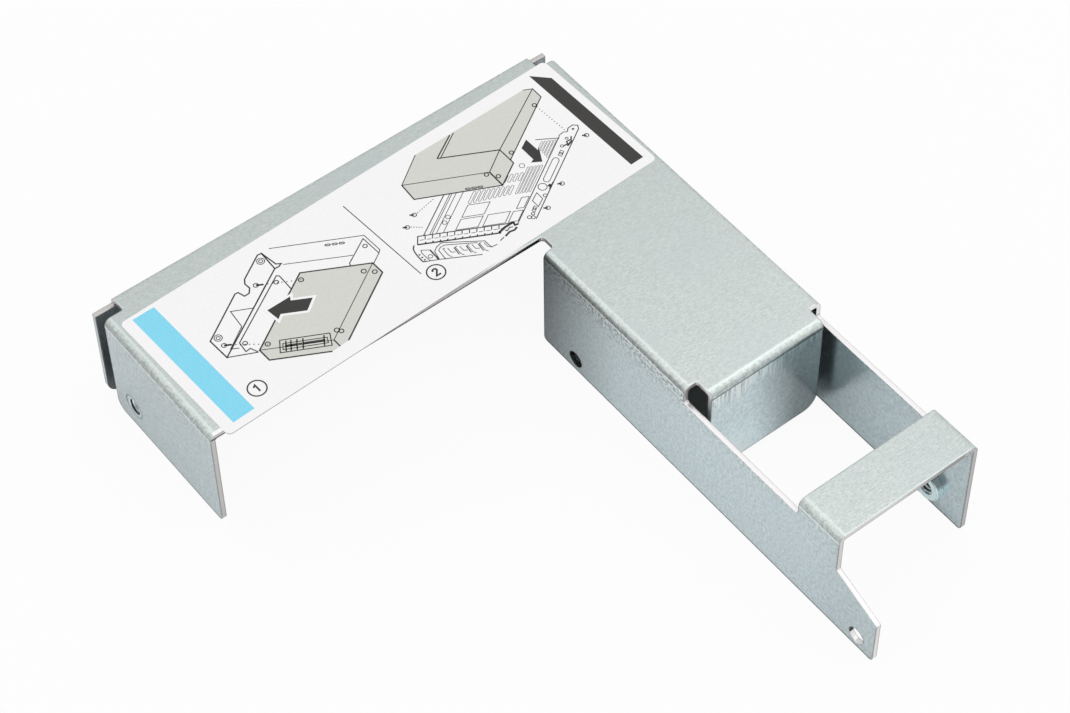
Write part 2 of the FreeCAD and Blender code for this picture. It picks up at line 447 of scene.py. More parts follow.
def bar_edge(tree):
    """The bar's front edge: a painted highlight on top, and painted shadow low down on its face, most of all by
    the nook.
    """
    near_front = tree.under(tree.apart(tree.y, BAR_FRONT), 0.8 * MM)
    above = tree.minus(tree.z, high.z - SHEET)
    painted_bar_shadow = tree.both(
        tree.under(tree.x, NOOK_FACE + 1.6 * MM),
        tree.under(tree.ny, -0.5),
        near_front,
        tree.over(above, -0.05 * MM),
        tree.under(above, tree.span(tree.x, BAR_SHADOW_START, BAR_SHADOW_FULL, BAR_SHADOW_LEAST, BAR_SHADOW_MOST)),
    )
    painted_bar_highlight = tree.both(tree.over(tree.nz, 0.9), tree.span(tree.x, 18 * MM, 13 * MM), near_front)
    return painted_bar_highlight, painted_bar_shadow


def painted_hole_shade(tree):
    """Painted shade on the insides of the nook wall's screw holes: all round by the bar, only the upper back by
    the tail.
    """
    in_sheet = tree.under(tree.apart(tree.x, NOOK_FACE + SHEET / 2), SHEET / 2 - 0.02 * MM)
    walls = []
    for hole, lowest in ((NOOK_HOLE, -2 * NOOK_HOLE_RADIUS), (TAIL_HOLE, TAIL_HOLE_LIT)):
        back = tree.minus(tree.y, hole.x)
        up = tree.minus(tree.z, hole.y)
        inside = tree.under(tree.reach(back, up), NOOK_HOLE_RADIUS + 0.03 * MM)
        walls.append(tree.both(inside, tree.over(tree.total(back, tree.both(up, 0.6)), lowest)))
    return tree.both(in_sheet, tree.total(*walls))


def clinch_grooves(tree):
    """A thin dark groove round each nut, pressed into the outer face of its flange."""
    grooves = []
    for node in NUTS:
        near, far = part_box(node)
        middle = (near + far) / 2
        away = tree.reach(tree.minus(tree.y, middle.y), tree.minus(tree.z, middle.z))
        ring = tree.span(tree.apart(away, GROOVE_RADIUS), GROOVE_HALF, GROOVE_CORE)
        grooves.append(tree.both(ring, tree.under(tree.apart(tree.x, middle.x), 2 * MM)))
    outer_face = tree.over(tree.size(tree.x), high.x - 0.05 * MM)
    return tree.both(tree.total(*grooves), outer_face, 0.55)


def painted_flange_shading(tree):
    """Painted light and shade on each flange: painted shade on the nook wall by the bar and by the tail, on the
    block flange towards the outer flange, on the end flange and inside the back flange; painted light low on the
    block flange."""
    nook_wall = tree.both(tree.under(tree.nx, -0.7), tree.over(tree.x, NOOK_FACE - 1 * MM))
    by_bar = tree.span(tree.y, 4 * MM, 26 * MM, 0.0, 0.57)
    by_tail = tree.span(tree.y, -48 * MM, -60 * MM, 0.0, 0.11)
    by_outer = tree.span(tree.x, 32 * MM, 43 * MM, -0.20, 0.49)
    painted_light_foot = tree.both(tree.span(tree.z, 13 * MM, 3 * MM, 0.0, -0.25), tree.span(tree.x, 42 * MM, 34 * MM))
    end_flange = tree.both(tree.under(tree.nx, -0.7), tree.under(tree.x, low.x + 1 * MM))
    back_inside = tree.both(tree.under(tree.ny, -0.7), tree.over(tree.y, high.y - 1.1 * MM))
    # Painted shade where the amount is above 0, painted light where it is below
    dull = tree.total(
        tree.both(nook_wall, tree.total(by_bar, by_tail)),
        tree.both(tree.on_block, tree.total(by_outer, painted_light_foot)),
        tree.both(end_flange, 0.08),
        tree.both(back_inside, tree.span(tree.z, high.z, low.z, 0.45, 0.75)),
    )
    return tree.minus(1.0, dull)


def zinc_sheet():
    """Galvanised sheet: slanting grain, specks and clouds, marks from folding, bare cut edges, painted shade and
    painted highlights.
    """
    tree = SheetTree("zinc_sheet_look")
    grain = tree.noise((1.1, 3.6, 2.2), 4.0, turn=GRAIN_TURN)
    speck = tree.noise(2.6, 3.0)
    blotch = tree.noise((1.6, 1.6, 1.3), 5.0, 0.75)
    mottle = tree.total(tree.both(grain, 0.55), tree.both(speck, 0.45))
    bend = tree.both(tree.span(tree.slope, 0.05, 0.2), tree.span(tree.slope, 0.99, 0.9))
    cut = cut_faces(tree)
    edge, rounded_normal = tree.edge(OUTLINE_WIDTH)
    painted_bar_highlight, painted_bar_shadow = bar_edge(tree)

    colour = plating(tree, mottle, blotch)
    colour = worn_flecks(tree, colour)
    colour = pitted_bends(tree, colour, bend, blotch)
    colour = fold_line(tree, colour, speck)
    colour = die_strokes(tree, colour)
    colour = tree.mix(cut, colour, cut_metal(tree))
    # Painted shade along lower edges and at the flanges' feet
    colour = tree.mix(painted_edge_shade(tree, cut, edge, rounded_normal), colour, OUTLINE_SHADE)
    # Painted highlight and painted shadow on the bar's front edge
    colour = tree.mix(painted_bar_highlight, colour, BAR_HIGHLIGHT)
    colour = tree.mix(painted_bar_shadow, colour, BAR_SHADOW)
    # Painted shade inside the nook wall's screw holes
    colour = tree.mix(painted_hole_shade(tree), colour, HOLE_SHADE)
    colour = tree.mix(clinch_grooves(tree), colour, GROOVE)
    # Painted light and shade on the flanges
    colour = tree.tone(colour, painted_flange_shading(tree))
    # Painted shade: the colour is darker where the sheet lies in a corner
    colour = tree.tone(colour, tree.span(tree.openness(25 * MM, 6, only_local=True), 0.12, 0.5, 0.48, 1.0))
    tree.shade("Base Color", colour)
    tree.shade("Metallic", tree.minus(tree.choose(cut, 1.0, 0.5), painted_bar_highlight))
    tree.shade("Roughness", tree.total(tree.span(mottle, 0.3, 0.7, 0.16, 0.27), tree.both(bend, 0.26)))
    tree.bump(tree.total(mottle, tree.both(blotch, 0.8)), 0.3, 0.05 * MM, rounded_normal)
    return tree.material


# Nuts, paper and ink

def zinc_nut():
    """Bluish plating with fine marks from turning; painted shade on top, in hollows, in the thread grooves and
    along edges, and painted highlights on the thread crests.
    """
    tree = Tree("zinc_nut_look")
    turning = tree.noise(4.0, 3.0)
    normal = tree.facing("Normal")
    flush = tree.over(tree.size(tree.position()["X"]), high.x - 0.1 * MM)
    flush_face = tree.both(flush, tree.over(tree.size(normal["X"]), 0.95))
    crest = tree.span(tree.layer("crest"), 0.75, 0.95)
    groove = tree.span(tree.layer("groove"), 0.5, 0.8)
    outline = tree.both(tree.edge(0.22 * MM)[0], 0.8)

    colour = tree.ramp(turning, (0.35, NUT_BLUE), (0.65, NUT_PALE))
    # Painted shade: darker in hollows, on faces turned upwards and on all but the flush face
    colour = tree.tone(colour, tree.span(tree.openness(6 * MM, 8), 0.12, 0.5, 0.85, 1.0))
    colour = tree.tone(colour, tree.span(normal["Z"], 0.35, 0.6, 1.0, 0.35))
    colour = tree.tone(colour, tree.choose(flush_face, 1.0, 0.68))
    # Painted highlights on the thread crests, painted shade in the thread grooves and along edges
    colour = tree.mix(crest, colour, NUT_CREST_HIGHLIGHT)
    tree.shade("Base Color", tree.mix(tree.either(outline, groove), colour, NUT_SHADE))
    tree.shade("Metallic", tree.choose(crest, 0.8, 0.2))
    tree.shade("Roughness", tree.span(turning, 0.3, 0.7, 0.16, 0.30))
    tree.bump(turning, 0.2, 0.02 * MM)
    return tree.material


def front_rim(tree):
    """Painted shade: 1 along the label's front edge, as far as it stands out past the sheet's edge."""
    edge, rounded_normal = tree.edge(0.22 * MM)
    side = tree.under(tree.facing()["Y"], -0.5)
    turned_front = tree.span(tree.parts(rounded_normal)["Y"], -0.03, -0.12)
    rim = tree.either(side, tree.both(edge, turned_front))
    return tree.both(rim, tree.span(tree.position()["X"], 12 * MM, 7 * MM, 0.0, 0.85))


def paper(name, dark, pale, shaded_front=False):
    """Coated paper or a film of ink on it: fine fibres, slightly uneven colour, and painted shade along the front
    edge if asked.
    """
    tree = Tree(name)
    fibre = tree.noise(3.0, 4.0)
    colour = tree.ramp(fibre, (0.3, dark), (0.7, pale))
    if shaded_front:
        colour = tree.mix(front_rim(tree), colour, PAPER_EDGE_SHADE)
    tree.shade("Base Color", colour)
    tree.shade("Roughness", tree.span(fibre, 0.3, 0.7, 0.42, 0.55))
    tree.bump(fibre, 0.1, 0.01 * MM)
    return tree.material


# Meshes

def piece(name, shape, material):
    mesh = bpy.data.meshes.new(name)
    shape.normal_update()
    shape.to_mesh(mesh)
    shape.free()
    mesh.materials.append(material)
    made = bpy.data.objects.new(name, mesh)
    bpy.context.scene.collection.objects.link(made)
    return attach(made, "root")


def rounded(corners, radius, steps=6):
    """The corners of a flat outline, each turned into a short arc."""
    outline = []
    for i, corner in enumerate(corners):
        before = (Vector(corners[i - 1]) - Vector(corner)).normalized()
        after = (Vector(corners[(i + 1) % len(corners)]) - Vector(corner)).normalized()
        half = before.angle(after) / 2
        centre = Vector(corner) + (before + after).normalized() * radius / math.sin(half)
        start = Vector(corner) + before * radius / math.tan(half) - centre
        stop = Vector(corner) + after * radius / math.tan(half) - centre
        for step in range(steps + 1):
            outline.append(centre + start.slerp(stop, step / steps))
    return outline


def clinch_nut(node, outward, material):
    """A turned nut on the X axis with a real thread in its bore. outward is 1 or -1 along X."""
    corner, far_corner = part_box(node)
    middle = (corner + far_corner) / 2
    foot = far_corner.x if outward > 0 else corner.x
    length = far_corner.x - corner.x
    collar = SHEET - (abs(high.x) - abs(foot))

    def ring(shape, radii, depth):
        made = []
        for i in range(NUT_SIDES):
            angle = 2 * math.pi * i / NUT_SIDES
            radius = radii(angle) if callable(radii) else radii
            made.append(shape.verts.new((
                foot - outward * depth,
                middle.y + radius * math.cos(angle),
                middle.z + radius * math.sin(angle),
            )))
        return made

    def thread(depth):
        def radius(angle):
            turn = (depth / THREAD_PITCH - angle / (2 * math.pi)) % 1.0
            ridge = min(1.0, max(0.0, THREAD_FLANK * abs(turn - 0.5) - THREAD_FLAT))
            mouth = NUT_BORE + NUT_MOUTH - min(depth, length - depth)
            return max(NUT_BORE + THREAD_DEPTH * (1 - ridge), mouth)
        return radius

    shape = bmesh.new()
    groove = shape.verts.layers.float.new("groove")
    crest = shape.verts.layers.float.new("crest")
    outer = [
        (NUT_SHANK_RADIUS, 0.0),
        (NUT_SHANK_RADIUS, collar),
        (NUT_HEAD_RADIUS, collar),
        (NUT_HEAD_RADIUS, length - NUT_HEAD_CHAMFER),
        (NUT_HEAD_RADIUS - NUT_HEAD_CHAMFER, length),
    ]
    rings = [ring(shape, radius, depth) for radius, depth in outer]
    for i in range(THREAD_STEPS + 1):
        depth = length * (1 - i / THREAD_STEPS)
        rings.append(ring(shape, thread(depth), depth))
    for a, b in zip(rings, rings[1:] + rings[:1]):
        for i in range(NUT_SIDES):
            j = (i + 1) % NUT_SIDES
            shape.faces.new((a[i], a[j], b[j], b[i]))
    bmesh.ops.recalc_face_normals(shape, faces=shape.faces)
    for bored in rings[len(outer) + THREAD_RUN_OUT:-THREAD_RUN_OUT]:
        for vert in bored:
            away = (vert.co.yz - middle.yz).length
            vert[groove] = (away - NUT_BORE) / THREAD_DEPTH
            vert[crest] = 1 - vert[groove]
    for face in shape.faces:
        face.smooth = True
    nut = piece(node + "_threaded", shape, material)
    nut.data.set_sharp_from_angle(angle=math.radians(38))
    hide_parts(node)
    return nut


# Label. Its own axes: a runs along it to the right, b across it to the back, in millimetres from its middle

label_middle = (label_low + label_high) / 2
paper_top = label_high.z - INK_LAYERS * INK


def on_label(a, b, height):
    turned = Matrix.Rotation(LABEL_TURN, 2) @ Vector((a, b)) * MM
    return Vector((label_middle.x + turned.x, label_middle.y + turned.y, paper_top + height))


def label_half_size():
    """Half the label's length and width, from the part's own label."""
    unturn = Matrix.Rotation(-LABEL_TURN, 2)
    corners = [unturn @ (v.co - label_middle).xy for v in frame["nodes"]["label"].data.vertices]
    return max(c.x for c in corners) / MM, max(c.y for c in corners) / MM


def label_paper():
    half_length, half_width = label_half_size()
    corners = [(a * half_length, b * half_width) for a, b in ((-1, -1), (1, -1), (1, 1), (-1, 1))]
    shape = bmesh.new()
    outline = [on_label(a, b, label_low.z - paper_top) for a, b in rounded(corners, LABEL_ROUND)]
    face = shape.faces.new([shape.verts.new(corner) for corner in outline])
    made = bmesh.ops.extrude_face_region(shape, geom=[face])
    raised = [v for v in made["geom"] if isinstance(v, bmesh.types.BMVert)]
    bmesh.ops.translate(shape, verts=raised, vec=(0, 0, paper_top - label_low.z))
    bmesh.ops.recalc_face_normals(shape, faces=shape.faces)
    look = paper("label_paper_look", PAPER_DARK, PAPER_PALE, shaded_front=True)
    sheet = piece("label_sheet", shape, look)
    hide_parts("label")


class Ink:
    """One film of print: flat shapes of one colour, in a layer above the paper."""

    def __init__(self, name, layer, dark, pale):
        self.name = name
        self.layer = layer
        self.material = paper(name + "_look", dark, pale)
        self.shape = bmesh.new()

    def area(self, outline):
        corners = [Vector(corner) + PRINT_SHIFT for corner in outline]
        verts = [self.shape.verts.new(on_label(a, b, self.layer * INK)) for a, b in corners]
        face = self.shape.faces.new(verts)
        face.normal_update()
        if face.normal.z < 0:
            face.normal_flip()

    def line(self, points, width, closed=False):
        """An even line through the points, with mitred corners."""
        path = [Vector(p) for p in points]
        count = len(path)
        sides = []
        for i, point in enumerate(path):
            ahead = path[(i + 1) % count] - point if closed or i < count - 1 else point - path[i - 1]
            behind = point - path[i - 1] if closed or i > 0 else ahead
            left_ahead = Vector((-ahead.y, ahead.x)).normalized()
            left_behind = Vector((-behind.y, behind.x)).normalized()
            mitre = (left_ahead + left_behind).normalized()
            reach = min(1.0 / max(mitre.dot(left_ahead), 0.3), 2.0) * width * PRESS / 2
            sides.append((point + mitre * reach, point - mitre * reach))
        for i in range(count if closed else count - 1):
            a, b = sides[i], sides[(i + 1) % count]
            self.area([a[0], a[1], b[1], b[0]])

    def ring(self, centre, radius, width=0.16):
        points = []
        for i in range(RING_SIDES):
            angle = math.radians(360.0 * i / RING_SIDES)
            points.append((centre[0] + radius * math.cos(angle), centre[1] + radius * math.sin(angle)))
        self.line(points, width, True)

    def slot(self, start, stop, radius, width):
        """The outline of a slot with round ends."""
        along = (Vector(stop) - Vector(start)).normalized()
        side = Vector((-along.y, along.x))
        points = []
        for end, away in ((Vector(stop), along), (Vector(start), -along)):
            for step in range(5):
                angle = math.pi * (step / 4 - 0.5)
                turn = away * math.cos(angle) + (side if away == along else -side) * math.sin(angle)
                points.append(end + turn * radius)
        self.line(points, width, True)

    def dots(self, start, stop, count):
        for i in range(count):
            spot = Vector(start).lerp(Vector(stop), i / (count - 1))
            self.line([spot - Vector((DOT, 0)), spot + Vector((DOT, 0))], DOT)

    def finish(self):
        film = piece(self.name, self.shape, self.material)
        thick = film.modifiers.new("film", "SOLIDIFY")
        thick.thickness = INK * 0.9
        thick.offset = -1


def oblique(origin, *axes):
    """A slanted grid on the label: place(s, t, ...) adds s times the first axis, t times the second, and so on."""
    def place(*amounts):
        point = Vector(origin)
        for amount, axis in zip(amounts, axes):
            point += Vector(axis) * amount
        return point
    return place


def grown(outline, by):
    """An anticlockwise outline, moved outwards by an even border."""
    moved = []
    for i, corner in enumerate(outline):
        behind = (Vector(corner) - Vector(outline[i - 1])).normalized()
        ahead = (Vector(outline[(i + 1) % len(outline)]) - Vector(corner)).normalized()
        out = Vector((behind.y + ahead.y, -behind.x - ahead.x)).normalized()
        moved.append(Vector(corner) + out * min(by / max(out.dot((behind.y, -behind.x)), 0.3), 2 * by))
    return moved


def drawing_one(lines, fill, white, bold):
    """A flat drive that slides into a folded bracket, as a plain line drawing."""
    box = oblique((-17.6, 4.6), (11.3, -6.6), (-16.0, -9.4), (0.0, -2.85))
    cut_corner = (box(0.845, 1, 1), box(1, 0.88, 1))
    outline = [cut_corner[1], box(1, 0, 1), box(1, 0), box(0, 0), box(0, 1), box(0, 1, 1), cut_corner[0]]
    fill.area(outline)
    lines.line(outline, 0.22)
    lines.line([box(0, 1), box(1, 1), box(1, 0)], 0.12)
    lines.line([box(1, 1), box(1, 1, 0.64)], 0.2)
    for s, t in ((0.07, 0.1), (0.93, 0.1), (0.07, 0.93), (0.97, 0.87)):
        lines.ring(box(s, t), 0.45)
    for t, down in ((0.06, 0.45), (0.86, 0.2)):
        lines.ring(box(1, t, down), 0.42)
    socket = oblique((-29.6, -5.3), (7.7, -4.4), (-1.6, -2.3))
    lines.line([socket(0, 0), socket(1, 0), socket(1.03, 1), socket(0, 1)], 0.16, True)
    lines.line([socket(0.06, 0.3), socket(0.94, 0.3), socket(0.96, 0.75), socket(0.06, 0.78)], 0.14, True)
    for left, right in ((0.1, 0.34), (0.46, 0.9)):
        lines.area([socket(left, 0.42), socket(left, 0.62), socket(right, 0.62), socket(right, 0.42)])
    for along in (0.12, 0.22, 0.34, 0.46, 0.88):
        lines.line([socket(along, 0.1), socket(along, 0.95)], 0.2)
    lines.line([socket(0.36, 0.5), socket(0.44, 0.5)], 0.3)

    flange = [(-20.1, 12.7), (-20.9, 12.8), (-26.0, 9.8), (-26.6, 8.9), (-26.5, 7.6), (-27.3, 6.7), (-28.3, 6.7),
              (-28.7, 8.1), (-29.3, 8.2), (-39.0, 2.4), (-38.9, -2.4), (-20.4, 8.3)]
    lines.line(flange, 0.2, True)
    lines.line([(-18.4, 12.7), (-3.5, 4.1), (-3.4, -0.4), (-4.0, -0.9), (-6.2, -2.2)], 0.12)
    lines.line([(-18.7, 8.1), (-7.9, 1.7)], 0.11)
    lines.line([(-4.0, -0.9), (-4.1, 3.6), (-9.5, 0.6), (-9.7, 0.0)], 0.14)
    lines.line([(-20.1, 12.7), (-19.6, 9.0), (-18.8, 8.5), (-19.6, 8.2), (-20.4, 8.3)], 0.2)
    inner = [(-21.0, 2.7), (-20.8, 6.4), (-21.2, 6.8), (-35.3, -1.2), (-35.6, -3.5), (-34.6, -3.4), (-34.0, -4.9)]
    lines.line(inner, 0.16)
    lines.line([(-28.7, 3.5), (-32.3, 5.5), (-32.8, 1.5), (-37.3, -1.3), (-36.0, -2.1)], 0.13)
    lines.line([(-24.0, 6.3), (-28.7, 3.5)], 0.13)
    lines.line([(-38.9, -2.4), (-34.0, -5.0)], 0.16)
    for centre in ((-21.3, 11.3), (-37.5, 2.1)):
        lines.ring(centre, 0.72, 0.12)
        lines.ring(centre, 0.36, 0.12)
    lines.ring((-4.9, 2.0), 0.4, 0.14)
    for hole in ((-22.1, 5.6), (-34.6, -1.9)):
        lines.ring(hole, 0.42, 0.14)
    for i in range(3):
        lines.slot((-10.1 + 1.1 * i, 6.7 - 0.65 * i), (-9.6 + 1.1 * i, 6.4 - 0.65 * i), 0.18, 0.14)
    near_screw = ((-25.3, 7.4), (-24.2, 6.7), box(0.07, 0.1))
    far_screw = ((-37.7, 0.1), (-36.6, -0.6), box(0.07, 0.93))
    for head, end, hole in (near_screw, far_screw):
        lines.ring(head, 0.45, 0.13)
        lines.line([head, end], 0.3)
        lines.dots(end, hole, 9)

    arrow = [(-27.2, 1.5), (-26.9, -1.4), (-25.9, -0.7), (-21.8, -3.1), (-19.3, -1.4), (-22.7, 0.6), (-22.2, 1.4)]
    bold.area(arrow)
    white.area(grown(arrow, 0.5))


def drawing_two(under, lines, fill):
    """The filled bracket above an open tray with slots, as a plain line drawing."""
    tray = oblique((5.0, -2.7), (0.876, -0.483), (0.864, 0.504))
    for across in (0.0, 1.1, 1.5, 2.3, 3.6):
        under.line([tray(across, -0.3), tray(across, 10.5)], 0.16 if across == 0.0 else 0.11)
    for across, deep in ((3.0, 3.6), (2.9, 2.2)):
        under.ring(tray(across, deep), 0.42, 0.11)
    for left, right, near, far in ((5.8, 9.9, 2.9, 6.0), (5.8, 9.9, -0.3, 2.4), (10.8, 14.9, -0.4, 2.5),
                                   (15.8, 17.2, 3.0, 5.8), (15.5, 17.3, -0.4, 2.3)):
        under.line([tray(left, near), tray(right, near), tray(right, far), tray(left, far)], 0.11, True)
    for i in range(9):
        under.slot(tray(5.9 + 0.88 * i, 6.6 + 0.1 * i), tray(5.9 + 0.88 * i, 9.3), 0.24, 0.08)
    for i in range(5):
        under.slot(tray(9.8 + 0.95 * i, 10.8), tray(9.8 + 0.95 * i, 12.4), 0.24, 0.08)
    for i in range(5):
        under.slot(tray(14.3 + 0.62 * i, 7.2), tray(14.3 + 0.62 * i, 13.8), 0.17, 0.07)
        under.slot(tray(14.6 + 0.62 * i, 18.8 - 0.7 * i), tray(14.6 + 0.62 * i, 20.3), 0.17, 0.07)
    under.ring(tray(12.8, 14.6), 0.5, 0.1)
    under.line([tray(17.5, -1.1), tray(17.5, 20.8), tray(13.0, 21.3)], 0.15)

    rail = oblique((22.6, -13.0), (0.876, -0.483), (0.864, 0.504))
    rail_edge = ((0, 0), (0, 23.2), (-0.5, 24.2), (-1.6, 24.5), (-2.2, 23.8), (-2.0, 22.8))
    under.line([rail(across, deep) for across, deep in rail_edge], 0.16)
    under.line([rail(-2.0, 22.8), rail(-2.8, 22.9), rail(-3.3, 22.2), rail(-3.1, 21.2)], 0.14)
    under.slot(rail(-1.6, 10.3), rail(-1.6, 15.3), 0.62, 0.12)
    under.ring(rail(-1.73, 8.46), 0.83, 0.13)
    under.line([rail(-2.35, 7.1), rail(-0.6, 5.2), rail(-0.7, 3.2), rail(-2.45, 5.1)], 0.13, True)
    under.line([rail(-1.6, 16.6), rail(-1.6, 17.9), rail(-0.8, 17.4), rail(-0.8, 16.1)], 0.11, True)
    under.line([rail(-1.6, 2.4), rail(-1.6, 3.6), rail(-0.9, 3.1), rail(-0.9, 1.9)], 0.11, True)
    for across, deep, radius in ((-0.4, 6.0, 0.36), (-1.2, 17.0, 0.22), (-1.3, 2.8, 0.2), (-1.5, 0.7, 0.36),
                                 (-1.1, 1.5, 0.3), (-0.7, 0.5, 0.36), (-1.7, 19.0, 0.3), (-1.5, 21.0, 0.26)):
        under.ring(rail(across, deep), radius, 0.13)
    lines.line([rail(-1.3, 23.3), rail(-0.9, 23.4)], 0.3)
    lines.line([rail(-0.55, 8.3), rail(-0.3, 8.8)], 0.45)
    lines.line([rail(-0.15, 7.6), rail(-0.05, 9.4)], 0.2)
    lines.line([rail(-1.4, 18.9), rail(-0.8, 19.4), rail(-1.2, 20.1), rail(-0.5, 20.5), rail(-0.8, 21.4)], 0.2)
    lines.line([rail(-0.6, 18.8), rail(-0.2, 20.2)], 0.28)

    bar = oblique((3.7, -2.4), (15.2, -8.7), (-1.25, -1.5))
    lines.line([bar(1, 0), bar(0, 0), bar(0, 1)], 0.16)
    lines.line([bar(0, 1), bar(0.87, 1)], 0.24)
    for i in range(12):
        left = i / 13
        lines.line([bar(left + 0.02, 0.5), bar(left + 0.065, 0.5)], 0.09)
        if i > 0:
            lines.line([bar(left, 0.04), bar(left, 0.5)], 0.14)
            lines.line([bar(left + 0.01, 0.78), bar(left, 1.0)], 0.16)
    latch = oblique((15.4, -11.2), (0.876, -0.483), (0.864, 0.504))
    lines.line([latch(0, 0), latch(0.6, 1.2), latch(1.8, 2.3)], 0.36)
    lines.line([latch(1.8, 2.3), latch(2.4, 1.4), latch(3.0, 1.6)], 0.3)
    lines.line([latch(1.6, -1.2), latch(2.0, -0.2), latch(2.8, 0.1), latch(3.0, 0.8)], 0.3)
    lines.line([latch(0.9, 0.5), latch(1.4, 0.2), latch(1.6, 1.0), latch(2.2, 1.0)], 0.16)
    lines.line([latch(1.0, -2.2), latch(1.4, -1.4)], 0.14)
    handle = [(1.9, -3.6), (1.3, -4.1), (1.0, -4.8), (0.8, -6.0), (0.7, -7.6), (1.3, -8.0)]
    lines.line(handle, 0.18)
    lines.line([(1.3, -8.0), (3.3, -9.1), (6.5, -11.1), (9.9, -13.2)], 0.13)
    lines.line([(2.1, -5.3), (1.8, -6.0), (1.8, -7.5), (1.9, -8.2)], 0.11)
    lines.line([(2.1, -5.3), (3.4, -6.3)], 0.1)
    lines.line([(3.4, -6.3), (3.2, -9.0)], 0.22)
    lines.ring((2.5, -7.5), 0.4, 0.1)
    for deep in (-5.9, -6.7, -7.4):
        lines.line([(1.1, deep), (1.4, deep - 0.15)], 0.22)
    grip = [(3.3, -9.1), (3.8, -7.1), (4.8, -6.5), (6.0, -6.3), (12.2, -11.0), (12.2, -12.9), (13.4, -13.1)]
    lines.line(grip, 0.12)
    lines.line([(4.2, -9.8), (4.5, -7.4), (5.2, -7.0), (6.1, -7.1), (11.0, -10.5)], 0.11)
    for i in range(4):
        slat = oblique((5.3 + 1.93 * i, -7.6 - 1.07 * i), (1.0, 0.0), (0.0, 1.0))
        lines.line([slat(0.4, -0.1), slat(0, 0), slat(-0.15, -1.9), slat(0.15, -2.5)], 0.1)
        lines.line([slat(0.75, -0.4), slat(0.7, -1.6), slat(1.3, -2.0)], 0.1)
        if i < 3:
            lines.line([slat(1.7, -1.05), slat(1.45, -2.9)], 0.15)

    top = [(15.6, 13.2), (9.1, 9.0), (23.3, 1.1), (28.2, 4.1), (42.6, 11.9), (41.0, 12.8)]
    front = [(9.1, 9.0), (23.3, 1.1), (23.1, -2.9), (8.7, 4.9)]
    end = [(23.3, 1.1), (28.2, 4.1), (28.1, 0.0), (23.1, -2.9)]
    side = [(28.2, 4.1), (42.6, 11.9), (42.5, 9.3), (28.1, 0.9)]
    for outline in (top, front, end, side):
        fill.area(outline)
    lines.line([top[0], top[1], top[2]], 0.13)
    lines.line([front[0], front[3], front[2], end[2], end[1]], 0.19)
    lines.line([top[2], front[2]], 0.24)
    lines.line([top[2], top[3], top[4], top[5]], 0.14)
    lines.line([side[1], side[2], side[3]], 0.16)
    lines.line([(18.1, 9.9), (28.2, 4.1)], 0.2)
    lines.line([(24.4, 12.9), (18.7, 9.6)], 0.14)
    lines.line([(23.5, 12.9), (18.1, 9.9)], 0.2)
    for centre in ((40.2, 8.5), (29.4, 2.2), (23.9, -0.7), (22.5, 1.0)):
        lines.ring(centre, 0.4, 0.16)
    for i in range(3):
        lines.slot((17.5 + 1.0 * i, 0.7 - 0.55 * i), (18.0 + 1.0 * i, 0.4 - 0.55 * i), 0.16, 0.14)
    for head in ((42.7, -3.5), (31.6, -9.6), (25.9, -12.4), (6.4, 2.0), (3.6, 0.5)):
        under.ring(head, 0.42, 0.14)
        under.line([(head[0] - 0.7, head[1] + 0.5), head], 0.28)
    under.dots((40.3, 7.8), (40.5, 0.2), 12)
    under.dots((11.3, 2.7), (7.2, 2.0), 8)
    under.dots((5.6, -1.2), (4.2, 0.1), 5)
    lines.area([(32.3, -3.2), (34.2, 0.1), (33.5, -0.5), (33.5, 2.9), (31.5, 1.8), (31.4, -1.7), (30.6, -2.0)])


def numeral(lines, centre, strokes):
    """A number in a ring."""
    lines.ring(centre, 1.72, 0.2)
    for stroke in strokes:
        lines.line([(centre[0] + x, centre[1] + y) for x, y in stroke], 0.27)


def label_print():
    blue = Ink("print_blue_bar", 1, (0.205, 0.66, 0.86), (0.245, 0.71, 0.90))
    black = Ink("print_black_bar", 1, (0.020, 0.019, 0.017), (0.030, 0.029, 0.026))
    under = Ink("print_tray_lines", 1, (0.045, 0.045, 0.045), (0.07, 0.07, 0.07))
    fill = Ink("print_pale_fill", 2, (0.62, 0.63, 0.58), (0.66, 0.675, 0.625))
    lines = Ink("print_dark_lines", 3, (0.012, 0.012, 0.012), (0.024, 0.024, 0.024))
    white = Ink("print_white_border", 4, PAPER_DARK, PAPER_PALE)
    bold = Ink("print_arrow", 5, (0.016, 0.015, 0.013), (0.026, 0.025, 0.022))
    blue.area([(-46.6, 15.2), (-46.5, -14.5), (-41.9, -14.4), (-42.0, 15.1)])
    black.area([(44.2, 14.8), (44.2, -14.3), (47.1, -14.3), (47.1, 11.7)])
    drawing_one(lines, fill, white, bold)
    drawing_two(under, lines, fill)
    under.line([(-2.1, 12.0), (-1.3, -9.6)], 0.15)
    one = [[(-0.42, 0.42), (0.08, 0.8), (0.08, -0.82)]]
    two = [[(-0.46, 0.42), (-0.28, 0.72), (0.1, 0.82), (0.4, 0.64), (0.42, 0.3), (-0.46, -0.76), (0.52, -0.76)]]
    numeral(lines, (-38.95, -11.2), one)
    numeral(lines, (1.0, -11.0), two)
    for ink in (blue, black, under, fill, lines, white, bold):
        ink.finish()


# Studio

